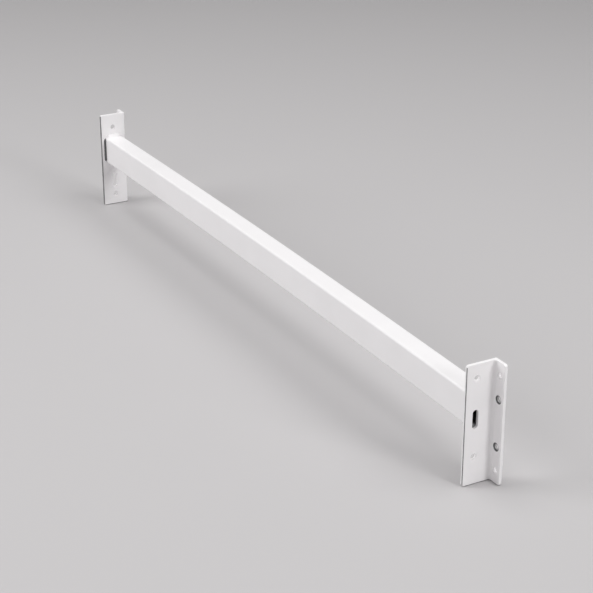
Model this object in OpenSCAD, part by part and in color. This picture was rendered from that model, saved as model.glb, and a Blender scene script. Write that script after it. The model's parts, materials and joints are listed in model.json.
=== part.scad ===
// Pallet rack beam: a box tube with a slight upward camber, welded between two end brackets.
// Each bracket is a length of steel angle: one leg closes the tube's end, and the other, the
// flange, runs outwards behind it and laps the side of the upright. X runs along the beam,
// Y across it (+Y is the rear), Z is up, and the brackets stand on z = 0.

/* [Box tube] */
// Cut length of the tube, between the two brackets
tube_length = 1500; // [900:10:2700]
// Height of the tube's section
tube_height = 60; // [40:1:75]
// Width of the tube's section, front to rear
tube_width = 40; // [30:1:42]
// Wall of the tube
tube_wall = 2; // [1.5:0.1:3]
// Outer radius of the tube's corners
tube_corner_r = 4; // [3.2:0.1:6]
// Rise of the tube at mid length over its two ends
camber = 6; // [2:0.5:15]

/* [End brackets] */
// Height of a bracket
bracket_height = 220; // [210:1:280]
// Width of the leg that closes the tube's end, over the angle's heel
leg_width = 60; // [60:1:90]
// Width of the flange, over the angle's heel
flange_width = 32; // [30:1:60]
// Thickness of both legs of the angle
angle_t = 6; // [4:0.5:7]
// Radius of the root, inside the angle's corner
root_r = 6; // [3:0.5:6]
// Radius of the heel, outside the angle's corner
heel_r = 3; // [1:0.5:3]
// Radius of the angle's free corners
corner_r = 5; // [2:0.5:8]
// Drop from the brackets' upper edge to the tube's top, at the tube's ends
tube_drop = 54; // [50:1:62]

/* [Holes in the legs] */
// Diameter of the plain bolt holes
bolt_hole_d = 11; // [7:0.5:13]
// Width of the slots
slot_width = 11; // [7:0.5:13]
// Length of the slots, end to end
slot_length = 34; // [24:1:40]
// Distance of the right leg's hole line from its front edge
right_line_in = 20; // [14:1:30]
// Height of the right leg's lower hole
right_hole_low_z = 52; // [14:1:80]
// Drop from the right leg's upper edge to its upper hole
right_hole_drop = 26; // [14:1:34]
// Height of the middle of the right leg's slot
right_slot_z = 120; // [110:1:140]
// Distance of the left leg's hole line from its front edge
left_line_in = 30; // [14:1:34]
// Height of the left leg's lower hole
left_hole_low_z = 26; // [12:1:32]
// Drop from the left leg's upper edge to its upper hole
left_hole_drop = 31; // [14:1:34]
// Height of the middle of the left leg's slot
left_slot_z = 60; // [58:1:75]

/* [Holes in the flanges] */
// Distance of the flange's hole line from the leg's outer face
flange_line_out = 13; // [11:0.5:16]
// Distance between the two plain holes
flange_hole_pitch = 172; // [150:1:190]
// Distance between the two tapped holes
tapped_pitch = 86; // [50:1:120]
// Diameter of the tapped holes
tapped_d = 12; // [8:1:12]
// Depth of the countersink at each mouth of a tapped hole
tapped_chamfer = 0.8; // [0.3:0.1:1.5]

/* [Welds] */
// Leg length of the weld runs above and below the tube
weld_leg_flat = 8; // [4:0.5:9]
// Leg length of the weld runs up the tube's sides
weld_leg_side = 6; // [3:0.5:7]

/* [Hidden] */

curve_steps = 64;
$fn = curve_steps;
coat_colour = [0.93, 0.93, 0.92];
bare_colour = [0.45, 0.45, 0.46];
// Cuts run this far past the faces that they cut
overrun = 1;
// The weld runs start this far inside the plate and the tube, and are cut back to their faces
weld_root = angle_t / 2;
// A weld's convex face is an arc whose centre lies this many leg lengths behind the corner
weld_crown = 1;

half_length = tube_length / 2;
leg_front_y = -leg_width / 2;
flange_rear_y = leg_width / 2;
flange_front_y = flange_rear_y - angle_t;

// The tube's underside lies on an arc through both ends and the raised middle
tube_seat_z = bracket_height - tube_drop - tube_height;
under_r = (half_length * half_length + camber * camber) / (2 * camber);
arc_centre_z = tube_seat_z + camber - under_r;
over_r = under_r + tube_height;
tube_top_z = arc_centre_z + sqrt(over_r * over_r - half_length * half_length);
arc_angle = 2 * asin((half_length + overrun) / under_r);
end_slope = asin(half_length / under_r);
arc_steps = 24;

// A rectangle [width, height] from the origin, with its corners rounded
module rounded_rectangle(size, r) {
    translate([r, 0]) square([size[0] - 2 * r, size[1]]);
    translate([0, r]) square([size[0], size[1] - 2 * r]);
    for (x = [r, size[0] - r], y = [r, size[1] - r])
        translate([x, y]) circle(r, $fn = curve_steps);
}

// Whatever profile is given, carried along the tube's arc. The profile's X is the height
// above the underside, and its Y runs across the tube.
module along_camber() {
    translate([0, 0, arc_centre_z])
        rotate([90, 0, 0])
            rotate_extrude(
                angle = arc_angle, start = 90 - arc_angle / 2,
                $fn = ceil(arc_steps * 360 / arc_angle)
            )
                translate([under_r, 0]) children();
}

// The tube as a solid bar, with its ends cut plumb
module tube_bar() {
    intersection() {
        along_camber()
            translate([0, -tube_width / 2])
                rounded_rectangle([tube_height, tube_width], tube_corner_r);
        translate([-half_length, -tube_width, 0])
            cube([tube_length, 2 * tube_width, bracket_height]);
    }
}

// The last stretch of the bar at the right end, which is straight over a weld's width
module tube_stub() {
    stretch = tube_height;
    translate([half_length, 0, tube_seat_z]) rotate([0, end_slope - 90, 0])
        translate([0, -tube_width / 2, -overrun]) linear_extrude(stretch)
            rounded_rectangle([tube_height, tube_width], tube_corner_r);
}

module box_tube() {
    color(coat_colour) difference() {
        tube_bar();
        along_camber()
            translate([tube_wall, tube_wall - tube_width / 2])
                rounded_rectangle(
                    [tube_height - 2 * tube_wall, tube_width - 2 * tube_wall],
                    tube_corner_r - tube_wall
                );
    }
}

// The quarter disc that is missing from a rounded corner, in the corner at the origin
module corner_gap(r) {
    difference() {
        square(r);
        translate([r, r]) circle(r);
    }
}

// The angle's section, with the leg's inner face on x = 0 and the flange behind it
module angle_section() {
    difference() {
        union() {
            translate([0, leg_front_y]) square([angle_t, leg_width]);
            translate([0, flange_front_y]) square([flange_width, angle_t]);
            translate([angle_t, flange_front_y]) mirror([0, 1]) corner_gap(root_r);
        }
        translate([0, flange_rear_y]) mirror([0, 1]) corner_gap(heel_r);
    }
}

// The cut length of angle at the right end, before its corners are rounded
module cut_angle() {
    translate([half_length, 0, 0]) linear_extrude(bracket_height) angle_section();
}

// A bracket without its holes, placed for the right end
module bracket_blank() {
    intersection() {
        cut_angle();
        // Free corners of the leg, rounded in the YZ plane
        translate([half_length - overrun, leg_front_y, 0]) rotate([90, 0, 90])
            linear_extrude(flange_width + 2 * overrun)
                rounded_rectangle([2 * leg_width, bracket_height], corner_r);
        // Free corners of the flange, rounded in the XZ plane
        translate([half_length - flange_width, leg_width, 0]) rotate([90, 0, 0])
            linear_extrude(2 * leg_width)
                rounded_rectangle([2 * flange_width, bracket_height], corner_r);
    }
}

// A round hole through the leg, at the given distance from its front edge
module leg_hole(line_in, z) {
    translate([half_length - overrun, leg_front_y + line_in, z])
        rotate([0, 90, 0]) cylinder(h = angle_t + 2 * overrun, d = bolt_hole_d);
}

// An upright slot through the leg: two round ends and the block between them
module leg_slot(line_in, z) {
    reach = (slot_length - slot_width) / 2;
    translate([half_length - overrun, leg_front_y + line_in, z]) {
        for (end = [-reach, reach])
            translate([0, 0, end]) rotate([0, 90, 0])
                cylinder(h = angle_t + 2 * overrun, d = slot_width);
        translate([0, -slot_width / 2, -reach])
            cube([angle_t + 2 * overrun, slot_width, 2 * reach]);
    }
}

// A plain round hole through the flange
module flange_hole(z) {
    translate([half_length + angle_t + flange_line_out, flange_rear_y + overrun, z])
        rotate([90, 0, 0]) cylinder(h = angle_t + 2 * overrun, d = bolt_hole_d);
}

// A tapped hole through the flange, countersunk at both mouths
module tapped_hole(z) {
    mouth_d = tapped_d + 2 * tapped_chamfer;
    translate([half_length + angle_t + flange_line_out, flange_rear_y, z])
        rotate([90, 0, 0]) {
            translate([0, 0, -overrun]) cylinder(h = angle_t + 2 * overrun, d = tapped_d);
            cylinder(h = tapped_chamfer, d1 = mouth_d, d2 = tapped_d);
            translate([0, 0, angle_t - tapped_chamfer])
                cylinder(h = tapped_chamfer, d1 = tapped_d, d2 = mouth_d);
        }
}

// A whole bracket, placed for the right end. hole_z lists its leg's round holes.
module end_bracket(line_in, hole_z, slot_z) {
    color(coat_colour) difference() {
        bracket_blank();
        for (z = hole_z) leg_hole(line_in, z);
        leg_slot(line_in, slot_z);
        for (side = [-1, 1]) {
            flange_hole((bracket_height + side * flange_hole_pitch) / 2);
            tapped_hole((bracket_height + side * tapped_pitch) / 2);
        }
    }
}

module right_end_bracket() {
    end_bracket(right_line_in, [right_hole_low_z, bracket_height - right_hole_drop], right_slot_z);
}

module left_end_bracket() {
    mirror([1, 0, 0])
        end_bracket(left_line_in, [left_hole_low_z, bracket_height - left_hole_drop], left_slot_z);
}

// Section of a fillet weld, for turning about its Y axis. X leads away from the tube's face and
// Y away from the bracket's. The corner is at [weld_root, weld_root], and what lies below that
// is the root, which is cut away.
module weld_section(leg) {
    behind = weld_root - weld_crown * leg;
    intersection() {
        square(leg + weld_root);
        translate([behind, behind]) circle(leg * norm([1 + weld_crown, weld_crown]));
    }
}

// A weld run along Y with its corner at the origin: X leads away from the tube's face and Z
// away from the bracket's. Each end is the section turned down to the tube's face.
module weld_run(length, leg) {
    translate([-weld_root, 0, -weld_root]) {
        rotate([90, 0, 0]) linear_extrude(length, center = true) weld_section(leg);
        for (end = [-1, 1])
            translate([0, end * length / 2, 0])
                rotate_extrude(angle = 90, start = end < 0 ? -90 : 0) weld_section(leg);
    }
}

// One weld run at the right end, on the side of the tube that turn brings up. reach is that
// side's distance from the middle of the tube's end, and flat is its width between the corners.
module end_weld(turn, reach, flat, leg, colour) {
    color(colour) difference() {
        translate([half_length, 0, (tube_seat_z + tube_top_z) / 2])
            rotate([turn, 0, 0]) translate([0, 0, reach])
                rotate([0, -90, 0]) weld_run(flat - 2 * leg, leg);
        tube_stub();
        cut_angle();
    }
}

module weld_top() {
    end_weld(0, (tube_top_z - tube_seat_z) / 2, tube_width - 2 * tube_corner_r, weld_leg_flat,
        coat_colour);
}

module weld_bottom() {
    end_weld(180, (tube_top_z - tube_seat_z) / 2, tube_width - 2 * tube_corner_r, weld_leg_flat,
        coat_colour);
}

module weld_front() {
    end_weld(90, tube_width / 2, tube_height - 2 * tube_corner_r, weld_leg_side, bare_colour);
}

module weld_rear() {
    end_weld(-90, tube_width / 2, tube_height - 2 * tube_corner_r, weld_leg_side, coat_colour);
}

module left_end() {
    mirror([1, 0, 0]) children();
}

box_tube();
right_end_bracket();
left_end_bracket();
weld_top();  // right_weld_top
weld_bottom();  // right_weld_bottom
weld_front();  // right_weld_front
weld_rear();  // right_weld_rear
left_end() weld_top();  // left_weld_top
left_end() weld_bottom();  // left_weld_bottom
left_end() weld_front();  // left_weld_front
left_end() weld_rear();  // left_weld_rear
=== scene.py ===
"""Dresses a rack beam: a cambered box tube welded between two angle brackets, all powder coated.

X runs along the beam, Y across it and Z is up, in metres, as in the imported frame. The sizes that
the frame knows are read from it. The others are properties of the panel in the sidebar, or are
named where they are used.
"""

import json
import math

import bmesh
import bpy
import numpy as np
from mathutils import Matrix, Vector


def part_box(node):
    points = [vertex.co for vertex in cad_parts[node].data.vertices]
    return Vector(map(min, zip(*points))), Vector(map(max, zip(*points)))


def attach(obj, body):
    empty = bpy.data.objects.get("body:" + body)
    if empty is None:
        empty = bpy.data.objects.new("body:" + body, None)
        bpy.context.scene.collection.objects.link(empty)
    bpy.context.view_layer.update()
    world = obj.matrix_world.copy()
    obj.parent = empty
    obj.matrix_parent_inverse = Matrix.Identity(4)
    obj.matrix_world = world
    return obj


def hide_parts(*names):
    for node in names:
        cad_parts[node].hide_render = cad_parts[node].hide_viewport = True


bl_info = {
    "name": "Rack beam finish",
    "version": (1, 0, 0),
    "blender": (4, 5, 0),
    "location": "3D View > Sidebar > Rack beam",
    "description": "Makes the coated tube, brackets, weld beads and threads of a rack beam",
    "category": "Object",
}

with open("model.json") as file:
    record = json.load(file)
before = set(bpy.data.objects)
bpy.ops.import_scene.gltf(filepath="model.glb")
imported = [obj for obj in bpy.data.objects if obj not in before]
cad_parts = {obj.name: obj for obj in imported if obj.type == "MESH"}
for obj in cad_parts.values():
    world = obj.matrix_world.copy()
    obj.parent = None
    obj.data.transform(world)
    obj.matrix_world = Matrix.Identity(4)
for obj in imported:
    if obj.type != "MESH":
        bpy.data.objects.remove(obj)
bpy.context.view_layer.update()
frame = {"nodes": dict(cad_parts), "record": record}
TUBE_LOW, TUBE_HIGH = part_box("box_tube")
BRACKET_LOW, BRACKET_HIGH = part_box("right_end_bracket")
MOUNTS = {mount["name"]: mount for mount in frame["record"]["mounts"]}

MM = 0.001
ENDS = {"right": 1, "left": -1}

# How thick the angle is, from the tube's end to the leg's outer face
STEEL = MOUNTS["right_leg_face"]["pos_m"][0] - TUBE_HIGH.x

# Points nearer than this are one
MERGE = 0.001 * MM

# The width and place of each lamp, whose power is the stage setting of the same name
LAMPS = {
    "Key": {"size": 4.2, "place": (2.3, 2.0, 5.2)},
    "Top": {"size": 2.2, "place": (-0.7, -0.6, 4.4)},
    "Front": {"size": 3.0, "place": (-2.4, -4.8, 2.8)},
    "Near": {"size": 3.0, "place": (3.4, -4.3, 2.6)},
    "Side": {"size": 1.6, "place": (5.6, 1.6, 2.4)},
}


# ---------------------------------------------------------------------------------------------
# What a user would change
# ---------------------------------------------------------------------------------------------


class TubeSizes(bpy.types.PropertyGroup):
    """The box section and its camber. Its length, width and place come from the frame"""

    height: bpy.props.FloatProperty(
        name="Height", description="Height of the section", default=60 * MM, subtype="DISTANCE"
    )
    wall: bpy.props.FloatProperty(
        name="Wall", description="Thickness of the wall", default=2 * MM, subtype="DISTANCE"
    )
    corner: bpy.props.FloatProperty(
        name="Corner", description="Outer radius of the corners", default=4 * MM, subtype="DISTANCE"
    )
    stations: bpy.props.IntProperty(
        name="Stations", description="Sections along the length", default=121, min=9
    )


class BracketSizes(bpy.types.PropertyGroup):
    """How the cut edges of the angle brackets are finished"""

    edge: bpy.props.FloatProperty(
        name="Edge", description="Roundness of the outer edges", default=1.2 * MM, subtype="DISTANCE"
    )
    hole_edge: bpy.props.FloatProperty(
        name="Hole edge",
        description="Roundness of the edges of holes and slots",
        default=0.6 * MM,
        subtype="DISTANCE",
    )


class WeldSizes(bpy.types.PropertyGroup):
    """The fillet beads between the tube and the brackets"""

    leg_flat: bpy.props.FloatProperty(
        name="Flat leg",
        description="Leg length of the beads above and below the tube",
        default=7.2 * MM,
        subtype="DISTANCE",
    )
    leg_side: bpy.props.FloatProperty(
        name="Side leg",
        description="Leg length of the beads up the tube's sides",
        default=3.8 * MM,
        subtype="DISTANCE",
    )
    hollow: bpy.props.FloatProperty(
        name="Hollow",
        description="How far a coated bead sags between its toes, as a share of its leg",
        default=0.08,
        subtype="FACTOR",
    )
    ripple_pitch: bpy.props.FloatProperty(
        name="Ripple pitch",
        description="Distance from one ripple of a bead to the next",
        default=2.2 * MM,
        subtype="DISTANCE",
    )
    ripple_height: bpy.props.FloatProperty(
        name="Ripple height",
        description="Height of a ripple over its valleys",
        default=0.35 * MM,
        subtype="DISTANCE",
    )


class ThreadSizes(bpy.types.PropertyGroup):
    """The threads of the tapped holes in the flanges"""

    pitch: bpy.props.FloatProperty(
        name="Pitch", description="Distance between two turns", default=1.75 * MM, subtype="DISTANCE"
    )
    depth: bpy.props.FloatProperty(
        name="Depth",
        description="Height of the ridge over its root",
        default=0.95 * MM,
        subtype="DISTANCE",
    )
    diameter: bpy.props.FloatProperty(
        name="Diameter", description="Outer diameter", default=12 * MM, subtype="DISTANCE"
    )
    countersink: bpy.props.FloatProperty(
        name="Countersink",
        description="Depth of the countersink at each mouth",
        default=0.8 * MM,
        subtype="DISTANCE",
    )


class Finish(bpy.types.PropertyGroup):
    """Colours and textures of the coat and of the bare steel"""

    coat_colour: bpy.props.FloatVectorProperty(
        name="Coat",
        description="Colour of the powder coat",
        default=(0.928, 0.911, 0.919),
        subtype="COLOR",
        min=0,
        max=1,
    )
    # Bare steel's colour, also used as painted shade on the front weld beads and as painted contact
    # shadow at the brackets' feet
    bare_and_shade_colour: bpy.props.FloatVectorProperty(
        name="Bare steel",
        description="Colour of uncoated steel",
        default=(0.16, 0.16, 0.165),
        subtype="COLOR",
        min=0,
        max=1,
    )
    cut_colour: bpy.props.FloatVectorProperty(
        name="Cut steel",
        description="Colour of the cut steel inside the tapped holes",
        default=(0.68, 0.67, 0.67),
        subtype="COLOR",
        min=0,
        max=1,
    )
    gloss_roughness: bpy.props.FloatProperty(
        name="Coat roughness", description="Mean roughness of the coat", default=0.42, min=0, max=1
    )
    peel_size: bpy.props.FloatProperty(
        name="Peel size",
        description="Size of the orange peel in the coat",
        default=2.5 * MM,
        subtype="DISTANCE",
    )
    peel_height: bpy.props.FloatProperty(
        name="Peel height",
        description="Height of the orange peel in the coat",
        default=0.03 * MM,
        subtype="DISTANCE",
    )
    # A dark line in bare steel's colour along the legs' front edges: its width and its wrap
    dark_edge_width: bpy.props.FloatProperty(
        name="Worn width",
        description="Width of the worn line on the cut front face of the legs",
        default=2.8 * MM,
        subtype="DISTANCE",
    )
    dark_edge_wrap: bpy.props.FloatProperty(
        name="Worn wrap",
        description="How far the worn line turns the corner onto the legs' outer or inner face",
        default=0.6 * MM,
        subtype="DISTANCE",
    )
    # Height of the painted contact shadow along the brackets' bottom edges
    foot_shadow_height: bpy.props.FloatProperty(
        name="Worn foot",
        description="Height of the wear along the brackets' bottom edges",
        default=1.6 * MM,
        subtype="DISTANCE",
    )
    scraped_ring: bpy.props.FloatProperty(
        name="Scraped ring",
        description="Width of the bare ring round the mouth of a tapped hole",
        default=1.0 * MM,
        subtype="DISTANCE",
    )
    dark_mouth: bpy.props.FloatProperty(
        name="Dark mouth",
        description="Depth of the dark ring at each mouth of a tapped hole",
        default=2.0 * MM,
        subtype="DISTANCE",
    )


class StageSettings(bpy.types.PropertyGroup):
    """The floor, the lights and the camera"""

    floor_colour: bpy.props.FloatVectorProperty(
        name="Floor",
        description="Colour of the floor",
        default=(0.552, 0.538, 0.543),
        subtype="COLOR",
        min=0,
        max=1,
    )
    sky: bpy.props.FloatProperty(
        name="Sky", description="Strength of the even light from all round", default=0.15, min=0
    )
    key: bpy.props.FloatProperty(
        name="Key", description="Power of the light high behind", default=136, subtype="POWER"
    )
    top: bpy.props.FloatProperty(
        name="Top", description="Power of the light overhead", default=66, subtype="POWER"
    )
    front: bpy.props.FloatProperty(
        name="Front", description="Power of the light in front", default=141, subtype="POWER"
    )
    near: bpy.props.FloatProperty(
        name="Near", description="Power of the light before the right end", default=47, subtype="POWER"
    )
    side: bpy.props.FloatProperty(
        name="Side", description="Power of the light past the right end", default=94, subtype="POWER"
    )
    azimuth: bpy.props.FloatProperty(
        name="Azimuth",
        description="Turn of the camera round the beam from its front",
        default=math.radians(61.25),
        subtype="ANGLE",
    )
    elevation: bpy.props.FloatProperty(
        name="Elevation",
        description="Height of the camera over the horizon",
        default=math.radians(23.56),
        subtype="ANGLE",
    )
    distance: bpy.props.FloatProperty(
        name="Distance",
        description="From the camera to the point it looks at",
        default=3.331,
        subtype="DISTANCE",
    )
    aim: bpy.props.FloatVectorProperty(
        name="Aim",
        description="The point that the camera looks at",
        default=(17.5 * MM, 66.4 * MM, 38.0 * MM),
        subtype="TRANSLATION",
    )
    lens: bpy.props.FloatProperty(
        name="Lens", description="Focal length on a 36 mm sensor, in millimetres", default=100.63
    )


class RackBeamSettings(bpy.types.PropertyGroup):
    """Everything that the operators read"""

    tube: bpy.props.PointerProperty(type=TubeSizes)
    bracket: bpy.props.PointerProperty(type=BracketSizes)
    weld: bpy.props.PointerProperty(type=WeldSizes)
    thread: bpy.props.PointerProperty(type=ThreadSizes)
    finish: bpy.props.PointerProperty(type=Finish)
    stage: bpy.props.PointerProperty(type=StageSettings)


# ---------------------------------------------------------------------------------------------
# Shader recipes
# ---------------------------------------------------------------------------------------------


class Signal:
    """A value in a material's nodes. Sums, products and so on of signals add their Math nodes"""

    def __init__(self, recipe, socket):
        self.recipe = recipe
        self.socket = socket

    def _math(self, operation, first, second=0.0, clamp=False):
        settings = {"operation": operation, "use_clamp": clamp}
        return self.recipe.node("ShaderNodeMath", settings, {0: first, 1: second})

    def __add__(self, other):
        return self._math("ADD", self, other)

    def __sub__(self, other):
        return self._math("SUBTRACT", self, other)

    def __mul__(self, other):
        return self._math("MULTIPLY", self, other)

    def __truediv__(self, other):
        return self._math("DIVIDE", self, other)

    def __pow__(self, other):
        return self._math("POWER", self, other)

    def __rsub__(self, other):
        return self._math("SUBTRACT", other, self)

    def __abs__(self):
        return self._math("ABSOLUTE", self)

    def least(self, other):
        """The smaller of two values"""
        return self._math("MINIMUM", self, other)

    def most(self, other):
        """The larger of two values"""
        return self._math("MAXIMUM", self, other)

    def clamped(self):
        """The value held between 0 and 1"""
        return self._math("ADD", self, 0.0, clamp=True)

    def rising(self, start, end):
        """0 up to the start, 1 from the end on, and a straight ramp between them"""
        return ((self - start) / (end - start)).clamped()

    def contrasted(self, factor):
        """The value's distance from a half made larger by that factor, held between 0 and 1"""
        return (self * factor - (factor - 1) / 2).clamped()

    def about_one(self, swing):
        """A value from 0 to 1 turned into a factor that swings about 1"""
        return self * swing + (1 - swing / 2)


class Recipe:
    """The nodes of one material or world, from its coordinates to its surface"""

    def __init__(self, owner):
        self.owner = owner
        self.owner.use_nodes = True
        self.tree = self.owner.node_tree
        self.tree.nodes.clear()

    def node(self, kind, settings=None, inputs=None, output=0):
        """Adds a node. Its settings are set first, then the values or links of its sockets"""
        node = self.tree.nodes.new(kind)
        for key, value in (settings or {}).items():
            setattr(node, key, value)
        for key, value in (inputs or {}).items():
            if isinstance(value, Signal):
                self.tree.links.new(value.socket, node.inputs[key])
            else:
                node.inputs[key].default_value = value
        return Signal(self, node.outputs[output]) if node.outputs else None

    def place(self):
        """Position on the piece, in metres"""
        return self.node("ShaderNodeTexCoord", output="Object")

    def axes(self, place):
        """The X, Y and Z of a position as three signals"""
        split = self.node("ShaderNodeSeparateXYZ", inputs={0: place})
        return [Signal(self, split.socket.node.outputs[axis]) for axis in range(3)]

    def noise(self, place, size, detail, roughness=0.5):
        """Soft noise from 0 to 1 whose lumps are about that size"""
        inputs = {"Vector": place, "Scale": 1 / size, "Detail": detail, "Roughness": roughness}
        return self.node("ShaderNodeTexNoise", inputs=inputs)

    def blend(self, share, low, high):
        """One colour turning into another as share goes from 0 to 1"""
        settings = {"data_type": "RGBA"}
        inputs = {0: share, 6: low, 7: high}
        return self.node("ShaderNodeMix", settings, inputs, output=2)

    def bump(self, height):
        """Normals tilted by a height in metres"""
        inputs = {"Height": height, "Strength": 1.0, "Distance": 1.0}
        return self.node("ShaderNodeBump", inputs=inputs)

    def surface(self, inputs):
        """Ends the recipe with a Principled surface"""
        shader = self.node("ShaderNodeBsdfPrincipled", inputs=inputs)
        self.node("ShaderNodeOutputMaterial", inputs={"Surface": shader})
        return self.owner


def opaque(colour):
    """An RGBA colour from an RGB one"""
    return (*colour, 1.0)


def coat(name, finish, uncoated):
    """White powder coat: a faint orange peel, slow changes of tone, and bare steel's colour where it
    doesn't cover and where contact shadow is painted.

    uncoated turns the recipe and the axes' signals into one that is 1 where bare steel's colour goes,
    and else 0: where the coat doesn't cover, along the legs' dark front edges, and as painted
    contact shadow at the brackets' feet.
    """
    tone_size, tone_share, roughness_swing = 90 * MM, 0.955, 0.06
    recipe = Recipe(bpy.data.materials.new(name))
    place = recipe.place()
    peel = recipe.noise(place, finish.peel_size, detail=1.0)
    tone = recipe.noise(place, tone_size, detail=3.0)
    white = opaque(finish.coat_colour)
    shade = opaque([channel * tone_share for channel in finish.coat_colour])
    colour = recipe.blend(tone.contrasted(1.6), white, shade)
    # Bare steel's colour where the coat doesn't cover, and on the brackets where contact shadow is
    # painted
    bare = uncoated(recipe, *recipe.axes(place))
    colour = recipe.blend(bare, colour, opaque(finish.bare_and_shade_colour))
    return recipe.surface(
        {
            "Base Color": colour,
            "Roughness": peel * roughness_swing + (finish.gloss_roughness - roughness_swing / 2),
            "Normal": recipe.bump(peel * finish.peel_height),
        }
    )


def bare_steel(name, finish, clean=None):
    """Dark uncoated steel: brown-grey mottling over a dull metal.

    clean turns the axes' signals into one that is 1 where the steel was cut clean, and else 0.
    """
    mottle_size, mottle_height, dark_share = 3 * MM, 0.05 * MM, 0.55
    least_roughness, roughness_swing = 0.35, 0.25
    recipe = Recipe(bpy.data.materials.new(name))
    place = recipe.place()
    mottle = recipe.noise(place, mottle_size, detail=5.0, roughness=0.65)
    dark = opaque([channel * dark_share for channel in finish.bare_and_shade_colour])
    colour = recipe.blend(mottle.contrasted(1.8), dark, opaque(finish.bare_and_shade_colour))
    if clean:
        colour = recipe.blend(clean(*recipe.axes(place)), colour, opaque(finish.cut_colour))
    return recipe.surface(
        {
            "Base Color": colour,
            "Metallic": 0.6,
            "Roughness": mottle * roughness_swing + least_roughness,
            "Normal": recipe.bump(mottle * mottle_height),
        }
    )


# ---------------------------------------------------------------------------------------------
# Surfaces
# ---------------------------------------------------------------------------------------------


def grid_faces(rows, columns, ring_of_rows):
    """Quads between neighbours of a grid whose columns close on themselves.

    Corner k of the quad at (row, column) is one row down, one column on, or both, taken modulo
    the number of columns, and modulo the rows too where the rows close into a ring.
    """
    row, column = np.meshgrid(
        np.arange(rows if ring_of_rows else rows - 1), np.arange(columns), indexing="ij"
    )
    next_row = (row + 1) % rows
    next_column = (column + 1) % columns
    corners = [
        row * columns + column,
        row * columns + next_column,
        next_row * columns + next_column,
        next_row * columns + column,
    ]
    return np.stack([corner.ravel() for corner in corners], axis=1).tolist()


def piece_from_grid(name, points, ring_of_rows, material):
    """A closed piece from a grid of points, shape (rows, columns, 3), with its open ends capped"""
    rows, columns = points.shape[:2]
    faces = grid_faces(rows, columns, ring_of_rows)
    if not ring_of_rows:
        faces.append(list(range(columns)))
        faces.append(list(range((rows - 1) * columns, rows * columns)))
    mesh = bpy.data.meshes.new(name)
    mesh.from_pydata(points.reshape(-1, 3).tolist(), [], faces)
    return finished_piece(name, mesh, material)


def linked(name, data):
    """A new object in the scene"""
    item = bpy.data.objects.new(name, data)
    bpy.context.scene.collection.objects.link(item)
    return item


def finished_piece(name, mesh, material):
    """Links a piece to the scene, merged where its points meet and with its faces outwards"""
    shell = bmesh.new()
    shell.from_mesh(mesh)
    bmesh.ops.remove_doubles(shell, verts=shell.verts, dist=MERGE)
    bmesh.ops.recalc_face_normals(shell, faces=shell.faces)
    if shell.calc_volume(signed=True) < 0:
        bmesh.ops.reverse_faces(shell, faces=shell.faces)
    shell.to_mesh(mesh)
    shell.free()
    mesh.materials.clear()
    mesh.materials.append(material)
    mesh.shade_smooth()
    return linked(name, mesh)


def rounded_loop(width, height, radius):
    """The (y, z) points of a rounded rectangle about the origin, anticlockwise.

    Each corner is a quarter circle about its own centre, which lies a radius inside both sides.
    A point just before it and one just after it lie on the flats, and keep them shaded flat.
    """
    steps, beside = 9, (-0.4 * MM, 0.4 * MM)
    angle = np.linspace(0, math.pi / 2, steps) + np.arange(4)[:, None] * math.pi / 2
    side_y = np.array([1, -1, -1, 1])[:, None] * (width / 2 - radius)
    side_z = np.array([1, 1, -1, -1])[:, None] * (height / 2 - radius)
    y = side_y + radius * np.cos(angle)
    z = side_z + radius * np.sin(angle)
    ends = [0, -1]
    flat_y = y[:, ends] - np.sin(angle[:, ends]) * beside
    flat_z = z[:, ends] + np.cos(angle[:, ends]) * beside
    y = np.concatenate([flat_y[:, :1], y, flat_y[:, 1:]], axis=1)
    z = np.concatenate([flat_z[:, :1], z, flat_z[:, 1:]], axis=1)
    return y.ravel(), z.ravel()


def cambered_tube(name, tube, material):
    """The box section carried along an arc, with its ends cut plumb.

    The arc's radius is (half length squared + camber squared) / (2 camber). A point at height h
    over the underside lies on its own circle about the same centre, so its z at any x is the
    centre's z plus the root of (radius + h) squared less x squared. The rows run out along the
    outer wall and back along the inner one, so that the surface closes on itself.
    """
    half = TUBE_HIGH.x
    width = TUBE_HIGH.y - TUBE_LOW.y
    camber = TUBE_HIGH.z - TUBE_LOW.z - tube.height
    radius = (half**2 + camber**2) / (2 * camber)
    centre_z = TUBE_LOW.z + camber - radius
    outer_y, outer_z = rounded_loop(width, tube.height, tube.corner)
    inner_y, inner_z = rounded_loop(
        width - 2 * tube.wall, tube.height - 2 * tube.wall, tube.corner - tube.wall
    )
    station = np.linspace(-half, half, tube.stations)
    x = np.concatenate([station, station[::-1]])[:, None]
    outer = np.arange(x.size)[:, None] < tube.stations
    y = np.where(outer, outer_y, inner_y)
    over_underside = np.where(outer, outer_z, inner_z) + tube.height / 2
    z = centre_z + np.sqrt((radius + over_underside) ** 2 - x**2)
    points = np.stack([np.broadcast_to(x, y.shape), y, z], axis=-1)
    return piece_from_grid(name, points, True, material)


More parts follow.
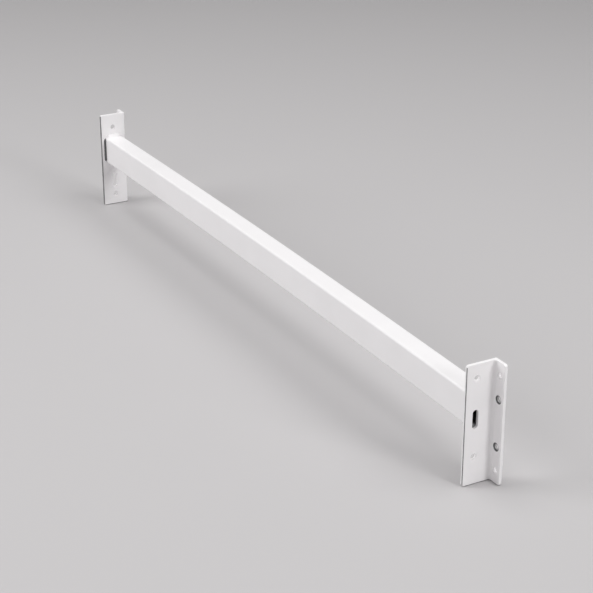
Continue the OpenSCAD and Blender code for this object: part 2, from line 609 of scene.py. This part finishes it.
def weld_bead(name, run, leg, sink, crown, weld, material, origin, outward, off_plate):
    """A rippled fillet bead in the corner between the tube's face and the bracket.

    Its section is the corner itself and the line (leg (1 - t), leg t) from toe to toe, which is
    raised along the diagonal by crown times 4 t (1 - t). The line runs on into the tube's wall
    as far as the sink, and stops a skin's depth in the plate. The section is carried along the
    run and turned a quarter circle at each end, so that the bead dies away on the tube's face.
    Each ripple is half a sine wave less its mean, and lags towards the toes with the square of
    2 t - 1. Round a turn the ripples keep their pitch at the turn's mean reach.
    """
    turn_rows, run_rows, line_steps = 14, 56, 15
    mean_reach, mean_ripple, skin = 0.7, 0.6, 0.05 * MM
    along = np.cross(outward, off_plate)
    quarter = np.linspace(math.pi / 2, 0, turn_rows, endpoint=False)
    angle = np.concatenate([-quarter, np.zeros(run_rows), quarter[::-1]])
    straight = np.linspace(-run / 2, run / 2, run_rows)
    shift = np.concatenate([np.full(turn_rows, -run / 2), straight, np.full(turn_rows, run / 2)])
    travel = shift + angle * (leg + sink) * mean_reach

    share = np.linspace(-sink / leg, 1 + sink / leg, line_steps)
    bulge = np.maximum(4 * share * (1 - share), 0)
    phase = travel[:, None] / weld.ripple_pitch + 0.5 * (2 * share - 1) ** 2
    ripple = weld.ripple_height * (np.abs(np.sin(math.pi * phase)) - mean_ripple)
    raised = (crown + ripple) * bulge / math.sqrt(2)
    from_tube = leg * (1 - share) + sink + raised
    from_plate = np.maximum(leg * share + raised, -skin)
    corner = np.zeros((angle.size, 1))
    from_tube = np.concatenate([from_tube, corner], axis=1)[..., None]
    from_plate = np.concatenate([from_plate, corner - skin], axis=1)[..., None]
    lean = np.cos(angle)[:, None, None] * outward + np.sin(angle)[:, None, None] * along
    points = (
        origin
        + shift[:, None, None] * along
        - sink * outward
        + from_tube * lean
        + from_plate * off_plate
    )
    return piece_from_grid(name, points, False, material)


def thread_lining(name, thread, depth, origin, inward, material):
    """The threaded and countersunk wall of a tapped hole, as a thin closed sleeve.

    The inner radius at a depth and angle is the thread's root radius less a ridge, which is a
    triangle wave of depth over pitch plus angle over a full turn, with its crest cut flat. At
    each mouth the countersink wins: there the radius is at least the mouth's less the depth.
    The sleeve covers the hole's wall thinly, has its back behind it, and stops short of both
    faces of the steel.
    """
    around, down = 64, 97
    short, cover, back, crest_cut = 0.02 * MM, 0.03 * MM, 0.1 * MM, 1.12
    root = thread.diameter / 2
    angle = np.linspace(0, 2 * math.pi, around, endpoint=False)
    level = np.linspace(short, depth - short, down)[:, None]
    wave = np.abs((level / thread.pitch + angle / (2 * math.pi)) % 1 - 0.5) * 2
    ridge = np.minimum(wave * crest_cut, 1) * thread.depth
    from_mouth = np.minimum(level, depth - level)
    sunk = root + thread.countersink - from_mouth
    inner = np.maximum(root - ridge, sunk) - cover
    outer = np.broadcast_to(np.maximum(root + back, sunk + back), inner.shape)
    radius = np.concatenate([inner, outer[::-1]])[..., None]
    level = np.concatenate([level, level[::-1]])[..., None]
    side = np.cross(inward, (0.0, 0.0, 1.0))
    spoke = np.cos(angle)[:, None] * side + np.sin(angle)[:, None] * np.array((0.0, 0.0, 1.0))
    points = origin + radius * spoke + level * inward
    return piece_from_grid(name, points, True, material)


def coated_bracket(name, node, bracket, material):
    """A bracket's own form with its corners merged, its flats made whole and its edges rounded.

    An edge is sharp where its faces turn by over 50 degrees. Those of holes and slots are the
    sharp edges that keep clear of the ends, of the leg's front and of the flange's outer side.
    In the end large flat faces keep their own normal, and the edges beside them blend into it.
    """
    flat_turn, sharp_turn = math.radians(0.5), math.radians(50)
    end_margin, side_margin = 6 * MM, 2 * MM
    lowest, highest = BRACKET_LOW.z + end_margin, BRACKET_HIGH.z - end_margin
    mesh = bpy.data.meshes.new(name)
    shell = bmesh.new()
    shell.from_mesh(frame["nodes"][node].data)
    bmesh.ops.remove_doubles(shell, verts=shell.verts, dist=MERGE)
    bmesh.ops.dissolve_limit(shell, angle_limit=flat_turn, verts=shell.verts, edges=shell.edges)
    weight = shell.edges.layers.float.new("bevel_weight_edge")
    for edge in shell.edges:
        middle = (edge.verts[0].co + edge.verts[1].co) / 2
        off_ends = lowest < middle.z < highest
        off_front = middle.y > BRACKET_LOW.y + side_margin
        off_side = abs(middle.x) < BRACKET_HIGH.x - side_margin
        of_hole = off_ends and off_front and off_side
        share = bracket.hole_edge / bracket.edge if of_hole else 1.0
        edge[weight] = share if edge.calc_face_angle(0) > sharp_turn else 0.0
    shell.to_mesh(mesh)
    shell.free()
    piece = finished_piece(name, mesh, material)
    edges = piece.modifiers.new("Coated edges", "BEVEL")
    edges.width = bracket.edge
    edges.segments = 3
    edges.limit_method = "WEIGHT"
    edges.use_clamp_overlap = False
    edges.loop_slide = False
    weighted = piece.modifiers.new("Weighted normals", "WEIGHTED_NORMAL")
    weighted.mode = "FACE_AREA"
    weighted.weight = 100
    weighted.keep_sharp = True
    return piece


def against_plate(x):
    """1 on what stands against a bracket's leg, where no coat gets, and else 0"""
    touching = 0.02 * MM
    return (abs(x) - TUBE_HIGH.x).rising(-2 * touching, -touching)


# ---------------------------------------------------------------------------------------------
# Operators
# ---------------------------------------------------------------------------------------------


def settings():
    """The settings that the panel shows"""
    return bpy.context.scene.rack_beam


def dress(piece, slot, *nodes):
    """The piece rides on the beam and stands for the nodes, which it hides. The slot is not used."""
    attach(piece, "root")
    if nodes:
        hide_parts(*nodes)


class RACKBEAM_OT_tube(bpy.types.Operator):
    """Make the cambered box tube"""

    bl_idname = "rackbeam.tube"
    bl_label = "Box tube"

    def execute(self, context):
        beam = settings()
        material = coat("tube coat", beam.finish, self.inside)
        dress(cambered_tube("coated_box_tube", beam.tube, material), "tube_coat", "box_tube")
        return {"FINISHED"}

    def inside(self, recipe, x, y, z):
        """1 on the inner wall and on the tube's ends, where no coat gets, and else 0.

        The depth is the least of three: half the width less |y|, the height over the cambered
        underside, and the section's height less that. It is the wall on the inner surface, and
        at most 0.29 of the corner radius on the outer one, which stays under 0.6 of the wall.
        """
        tube = settings().tube
        camber = TUBE_HIGH.z - TUBE_LOW.z - tube.height
        underside = TUBE_LOW.z + camber - (x / TUBE_HIGH.x) ** 2.0 * camber
        below_middle = abs(z - underside - tube.height / 2)
        depth = (tube.height / 2 - below_middle).least(TUBE_HIGH.y - abs(y))
        return (depth / tube.wall).rising(0.7, 0.9).most(against_plate(x))


class RACKBEAM_OT_brackets(bpy.types.Operator):
    """Make both angle brackets, with a dark line along each leg's front edge and painted contact
    shadow along their feet
    """

    bl_idname = "rackbeam.brackets"
    bl_label = "End brackets"

    def execute(self, context):
        beam = settings()
        uncoated = {"right": self.dark_edge_right, "left": self.dark_edge_left}
        for end in ENDS:
            material = coat(f"{end} bracket coat", beam.finish, uncoated[end])
            node = f"{end}_end_bracket"
            bracket = coated_bracket(f"{end}_coated_bracket", node, beam.bracket, material)
            dress(bracket, "bracket_coat", node)
        return {"FINISHED"}

    def dark_edge_right(self, recipe, x, y, z):
        """The right leg has a dark line along its outer front edge, and painted contact shadow along
        its feet
        """
        finish = settings().finish
        from_edge = x - (TUBE_HIGH.x + STEEL)
        line = self.dark_edge_line(recipe, from_edge, y, finish.dark_edge_width, finish.dark_edge_wrap)
        return line.most(self.scraped("right", x, z)).most(self.painted_foot_shadow(recipe, z))

    def dark_edge_left(self, recipe, x, y, z):
        """The left leg has a wider dark line along its inner front edge, and painted contact shadow
        along its feet
        """
        wider, further = 2.0, 2.5
        finish = settings().finish
        width, wrap = wider * finish.dark_edge_width, further * finish.dark_edge_wrap
        line = self.dark_edge_line(recipe, x - TUBE_LOW.x, y, width, wrap)
        return line.most(self.scraped("left", x, z)).most(self.painted_foot_shadow(recipe, z))

    def dark_edge_line(self, recipe, from_edge, y, width, wrap):
        """1 along an upright front edge, fading out as an ellipse about that edge.

        The ellipse's half axes are the width along x and the wrap along y, and noise along the
        edge lets the line grow and shrink by a third.
        """
        patch, fading = 14 * MM, 1 / 3
        from_centre = ((from_edge / width) ** 2.0 + ((y - BRACKET_LOW.y) / wrap) ** 2.0) ** 0.5
        reach = recipe.noise(recipe.place(), patch, detail=4.0).about_one(0.6)
        return (reach - from_centre).rising(0.0, fading)

    def painted_foot_shadow(self, recipe, z):
        """Painted contact shadow: 1 along the bottom edges that the beam stands on, up to a height
        that noise varies
        """
        patch, fading = 9 * MM, 0.3 * MM
        breakup = recipe.noise(recipe.place(), patch, detail=3.0).about_one(0.8)
        height = breakup * settings().finish.foot_shadow_height
        return (height - z).rising(0.0, fading)

    def scraped(self, end, x, z):
        """1 round the mouths of the tapped holes, as far as the scraped ring reaches.

        Height is folded about the middle of the two holes, so that one circle stands for both.
        """
        fading = 0.3 * MM
        beam = settings()
        mount = MOUNTS[f"{end}_flange_taps"]
        centre = mount["pos_m"]
        folded = abs(z - centre[2]) - mount["dims"]["spacing_y_mm"] * MM / 2
        away = ((x - centre[0]) ** 2.0 + folded**2.0) ** 0.5
        reach = beam.thread.diameter / 2 + beam.thread.countersink + beam.finish.scraped_ring
        return (reach - away).rising(0.0, fading)


class RACKBEAM_OT_welds(bpy.types.Operator):
    """Make the four weld beads at each end: coated ones, and at the front dark ones in bare steel's
    colour, which are painted shade in the corner between the tube's front and the leg
    """

    bl_idname = "rackbeam.welds"
    bl_label = "Weld beads"

    def execute(self, context):
        beam = settings()
        tube, weld = beam.tube, beam.weld
        sink, front_bead_crown = 0.95 * tube.wall, 0.12
        height, width = tube.height, TUBE_HIGH.y - TUBE_LOW.y
        middle_z = TUBE_LOW.z + height / 2
        coated = coat("weld coat", beam.finish, lambda recipe, x, y, z: against_plate(x))
        # Dark steel for the front beads: painted shade in the corner between the tube's front and the
        # leg
        bare = bare_steel("bare weld", beam.finish)
        # Which way each side faces, how long its edge is, how far out it lies, and its bead's leg
        sides = {
            "top": ((0.0, 0.0, 1.0), width, height / 2, weld.leg_flat),
            "bottom": ((0.0, 0.0, -1.0), width, height / 2, weld.leg_flat),
            "front": ((0.0, -1.0, 0.0), height, width / 2, weld.leg_side),
            "rear": ((0.0, 1.0, 0.0), height, width / 2, weld.leg_side),
        }
        for end, hand in ENDS.items():
            centre = np.array((hand * TUBE_HIGH.x, 0.0, middle_z))
            off_plate = np.array((-hand, 0.0, 0.0))
            for side, (outward, length, reach, leg) in sides.items():
                outward = np.array(outward)
                # The front beads are painted shade: dark steel, raised by a crown in place of the
                # hollow
                painted_shade_front = side == "front"
                bead = weld_bead(
                    f"{end}_{side}_bead",
                    length - 2 * (leg + sink) - tube.corner,
                    leg,
                    sink,
                    leg * (front_bead_crown if painted_shade_front else -weld.hollow),
                    weld,
                    bare if painted_shade_front else coated,
                    centre + reach * outward,
                    outward,
                    off_plate,
                )
                # The front beads' slot is named for bare steel; their darkness is painted shade
                slot = "bare_steel" if painted_shade_front else "weld_coat"
                dress(bead, slot, f"{end}_weld_{side}")
        return {"FINISHED"}


class RACKBEAM_OT_threads(bpy.types.Operator):
    """Line the tapped holes of both flanges with their threads"""

    bl_idname = "rackbeam.threads"
    bl_label = "Threads"

    def execute(self, context):
        beam = settings()
        material = bare_steel("bare thread", beam.finish, clean=self.deep)
        for end in ENDS:
            mount = MOUNTS[f"{end}_flange_taps"]
            centre = mount["pos_m"]
            half_pitch = mount["dims"]["spacing_y_mm"] * MM / 2
            for level, lift in {"upper": half_pitch, "lower": -half_pitch}.items():
                lining = thread_lining(
                    f"{end}_{level}_thread",
                    beam.thread,
                    STEEL,
                    np.array((centre[0], BRACKET_HIGH.y - STEEL, centre[2] + lift)),
                    np.array((0.0, 1.0, 0.0)),
                    material,
                )
                dress(lining, "bare_steel")
        return {"FINISHED"}

    def deep(self, x, y, z):
        """1 deeper in the flange than the dark ring of either mouth"""
        half_fading = 0.3 * MM
        dark = settings().finish.dark_mouth
        from_mouth = STEEL / 2 - abs(y - (BRACKET_HIGH.y - STEEL / 2))
        return from_mouth.rising(dark - half_fading, dark + half_fading)


class RACKBEAM_OT_stage(bpy.types.Operator):
    """Make the floor, the lights and the camera"""

    bl_idname = "rackbeam.stage"
    bl_label = "Stage"

    def execute(self, context):
        stage = settings().stage
        scene = context.scene
        scene.view_settings.view_transform = "Standard"
        self.floor(stage)
        self.sky(scene, stage)
        for name, lamp in LAMPS.items():
            self.lamp(name, getattr(stage, name.lower()), **lamp)
        self.camera(scene, stage)
        return {"FINISHED"}

    def floor(self, stage):
        """A plain pale floor under the beam"""
        reach = 12.0
        corners = [(-reach, -reach, 0), (reach, -reach, 0), (reach, reach, 0), (-reach, reach, 0)]
        mesh = bpy.data.meshes.new("floor")
        mesh.from_pydata(corners, [], [(0, 1, 2, 3)])
        recipe = Recipe(bpy.data.materials.new("floor"))
        material = recipe.surface({"Base Color": opaque(stage.floor_colour), "Roughness": 0.85})
        mesh.materials.append(material)
        return linked("floor", mesh)

    def sky(self, scene, stage):
        """Even light from all round, and a pale backdrop where the camera or a gloss sees it"""
        world = bpy.data.worlds.new("Sky")
        recipe = Recipe(world)
        rays = recipe.node("ShaderNodeLightPath", output="Is Camera Ray")
        glossy = Signal(recipe, rays.socket.node.outputs["Is Glossy Ray"])
        light = {"Color": opaque((1.0, 1.0, 1.0)), "Strength": stage.sky}
        backdrop = {"Color": opaque(stage.floor_colour), "Strength": 1.0}
        lighting = recipe.node("ShaderNodeBackground", inputs=light)
        seen = recipe.node("ShaderNodeBackground", inputs=backdrop)
        either = {0: rays.most(glossy), 1: lighting, 2: seen}
        mixed = recipe.node("ShaderNodeMixShader", inputs=either)
        recipe.node("ShaderNodeOutputWorld", inputs={"Surface": mixed})
        scene.world = world

    def lamp(self, name, power, size, place):
        """A square soft light at that place, turned towards the beam"""
        light = bpy.data.lights.new(name, "AREA")
        light.energy = power
        light.size = size
        self.stand(linked(name, light), Vector(place), -Vector(place))

    def camera(self, scene, stage):
        """The camera, a distance back from its aim along the view's direction"""
        data = bpy.data.cameras.new("Camera")
        data.sensor_width = 36
        data.lens = stage.lens
        data.clip_end = 100
        level = math.cos(stage.elevation)
        back = Vector(
            (
                math.sin(stage.azimuth) * level,
                -math.cos(stage.azimuth) * level,
                math.sin(stage.elevation),
            )
        )
        scene.camera = linked("Camera", data)
        self.stand(scene.camera, Vector(stage.aim) + back * stage.distance, -back)

    def stand(self, item, place, view):
        """Puts a lamp or a camera at a place, looking along a direction"""
        item.location = place
        item.rotation_mode = "QUATERNION"
        item.rotation_quaternion = view.to_track_quat("-Z", "Y")


class RACKBEAM_PT_sidebar(bpy.types.Panel):
    """The steps of the beam and their settings"""

    bl_label = "Rack beam"
    bl_space_type = "VIEW_3D"
    bl_region_type = "UI"
    bl_category = "Rack beam"

    def draw(self, context):
        beam = settings()
        for step, group in STEPS.items():
            self.layout.operator(step.bl_idname)
            self.list_group(getattr(beam, group))
        self.layout.label(text="Finish")
        self.list_group(beam.finish)

    def list_group(self, group):
        """One line for each property of a group"""
        for name in type(group).__annotations__:
            self.layout.prop(group, name)


STEPS = {
    RACKBEAM_OT_tube: "tube",
    RACKBEAM_OT_brackets: "bracket",
    RACKBEAM_OT_welds: "weld",
    RACKBEAM_OT_threads: "thread",
    RACKBEAM_OT_stage: "stage",
}
CLASSES = (
    TubeSizes,
    BracketSizes,
    WeldSizes,
    ThreadSizes,
    Finish,
    StageSettings,
    RackBeamSettings,
    RACKBEAM_OT_tube,
    RACKBEAM_OT_brackets,
    RACKBEAM_OT_welds,
    RACKBEAM_OT_threads,
    RACKBEAM_OT_stage,
    RACKBEAM_PT_sidebar,
)


def register():
    for item in CLASSES:
        bpy.utils.register_class(item)
    bpy.types.Scene.rack_beam = bpy.props.PointerProperty(type=RackBeamSettings)


def unregister():
    del bpy.types.Scene.rack_beam
    for item in reversed(CLASSES):
        bpy.utils.unregister_class(item)


def main():
    """Makes the beam and its stage"""
    register()
    bpy.ops.rackbeam.tube()
    bpy.ops.rackbeam.brackets()
    bpy.ops.rackbeam.welds()
    bpy.ops.rackbeam.threads()
    bpy.ops.rackbeam.stage()


if __name__ == "__main__":
    main()
